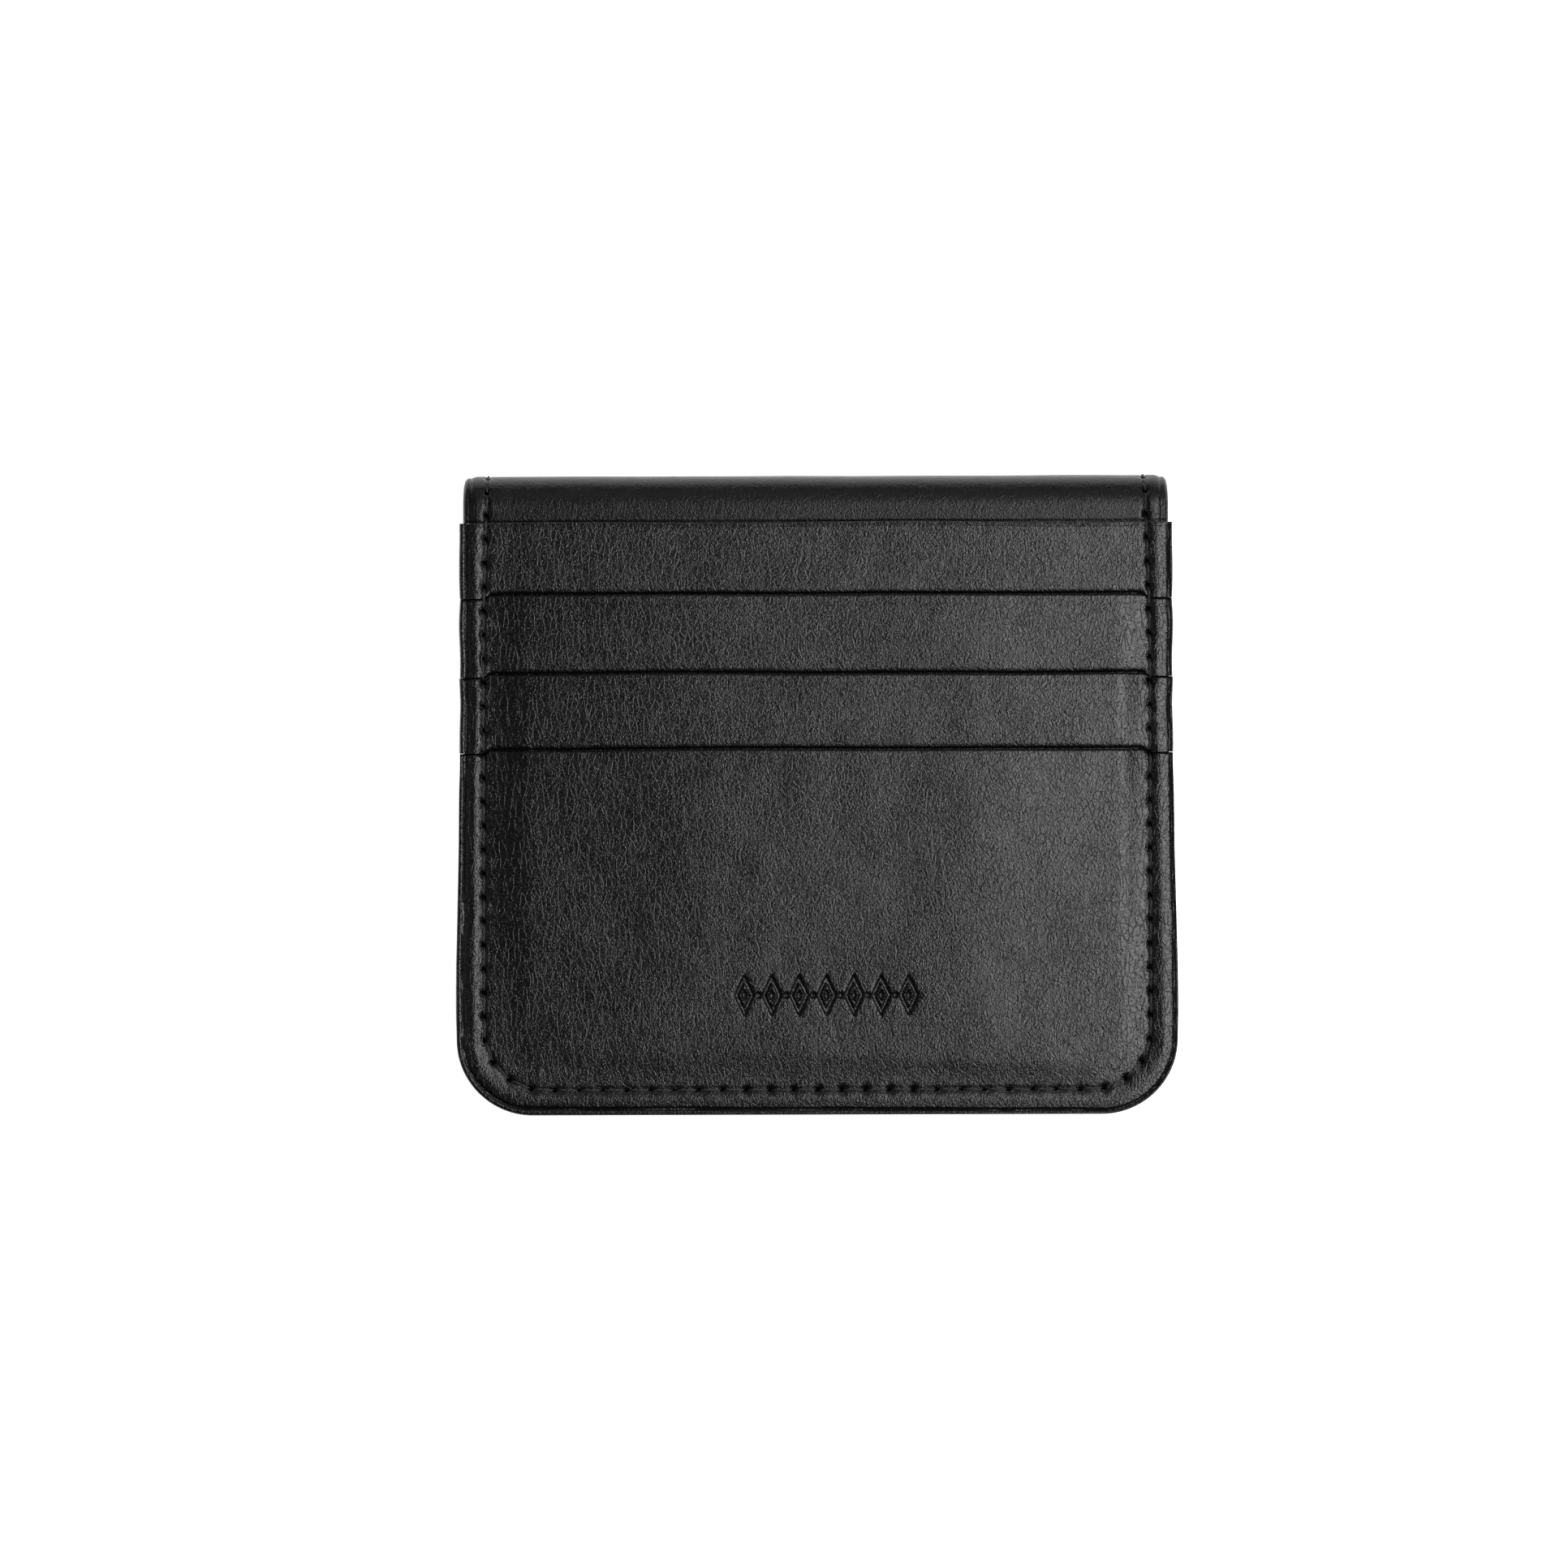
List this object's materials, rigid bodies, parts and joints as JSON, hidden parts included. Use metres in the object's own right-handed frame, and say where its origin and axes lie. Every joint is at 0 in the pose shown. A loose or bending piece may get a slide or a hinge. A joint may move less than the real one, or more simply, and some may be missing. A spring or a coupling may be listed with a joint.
{
  "type": "card holder",
  "caption": "Folding leather card holder with a rounded stitched spine, stepped card slots and a deep front pocket, slots inside",
  "frame": {"origin": "middle of the closed holder's outline, on the outer face of the back cover, which it lies on", "axes": "+X across the holder along its spine, +Y from the open hem to the spine, +Z from the back cover to the front pocket"},
  "size_m": [0.1, 0.0888, 0.0121],
  "materials": {
    "cover_leather": "semi-gloss grained",
    "pocket_leather": "semi-gloss grained",
    "inner_leather": "semi-gloss grained",
    "lining_cloth": "matte woven",
    "stiffener_board": "matte",
    "thread": "waxed"
  },
  "bodies": {
    "back_leaf": {"back_cover": "cover_leather", "back_stiffener": "stiffener_board", "back_lining": "lining_cloth", "back_inner_pocket": "inner_leather", "inner_slot_facing": "inner_leather", "inner_slot_cloth": "lining_cloth", "back_needle_thread": "thread", "back_bobbin_thread": "thread"},
    "spine_lower": {"spine_lower_cover": "cover_leather", "spine_lower_lining": "lining_cloth", "spine_lower_thread_left": "thread", "spine_lower_thread_right": "thread"},
    "spine_upper": {"spine_upper_cover": "cover_leather", "spine_upper_lining": "lining_cloth", "spine_upper_thread_left": "thread", "spine_upper_thread_right": "thread"},
    "front_leaf": {"front_cover": "cover_leather", "front_stiffener": "stiffener_board", "front_lining": "lining_cloth", "front_inner_pocket": "inner_leather", "slot_1_facing": "pocket_leather", "slot_1_cloth": "lining_cloth", "slot_2_facing": "pocket_leather", "slot_2_cloth": "lining_cloth", "slot_3_facing": "pocket_leather", "slot_3_cloth": "lining_cloth", "front_pocket": "pocket_leather", "front_needle_thread": "thread", "front_bobbin_thread": "thread"}
  },
  "joints": [
    {"name": "back_bend", "type": "hinge", "parent": "back_leaf", "child": "spine_lower", "pos_m": [0, 0.04225, 0.00043], "axis": [-1, 0, 0], "range_deg": [0, 60]},
    {"name": "middle_bend", "type": "hinge", "parent": "spine_lower", "child": "spine_upper", "pos_m": [0, 0.0446, 0.0045], "axis": [-1, 0, 0], "range_deg": [0, 60]},
    {"name": "front_bend", "type": "hinge", "parent": "spine_upper", "child": "front_leaf", "pos_m": [0, 0.04225, 0.00857], "axis": [-1, 0, 0], "range_deg": [0, 60]}
  ],
  "couplings": [
    {"joint": "back_bend", "follows": "front_bend", "ratio": 1},
    {"joint": "middle_bend", "follows": "front_bend", "ratio": 1}
  ]
}
